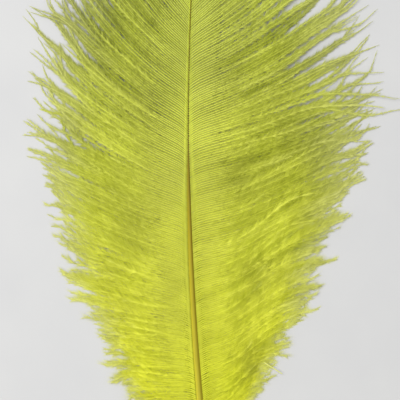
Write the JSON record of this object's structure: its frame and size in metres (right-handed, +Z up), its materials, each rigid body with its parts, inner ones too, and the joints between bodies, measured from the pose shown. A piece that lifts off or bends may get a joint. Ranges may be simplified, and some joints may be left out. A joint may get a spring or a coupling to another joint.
{
  "type": "ostrich feather",
  "caption": "A soft dyed ostrich plume lying on a table: a slim tapering shaft with a bare quill, and two broad fluffy vanes whose barbs hang together in locks.",
  "frame": {"origin": "On the table, under the middle of the feather's box.", "axes": "+Y runs along the shaft from the quill to the soft tip, +X is to the right as seen from above, +Z is up from the table. The upper side of the feather faces up."},
  "size_m": [0.1508, 0.2848, 0.0097],
  "materials": {
    "plume": "soft dyed down, matte, with light showing through",
    "shaft": "dyed horn, satin, paler at the bare quill"
  },
  "bodies": {
    "root": {"feather": "plume"}
  },
  "joints": []
}
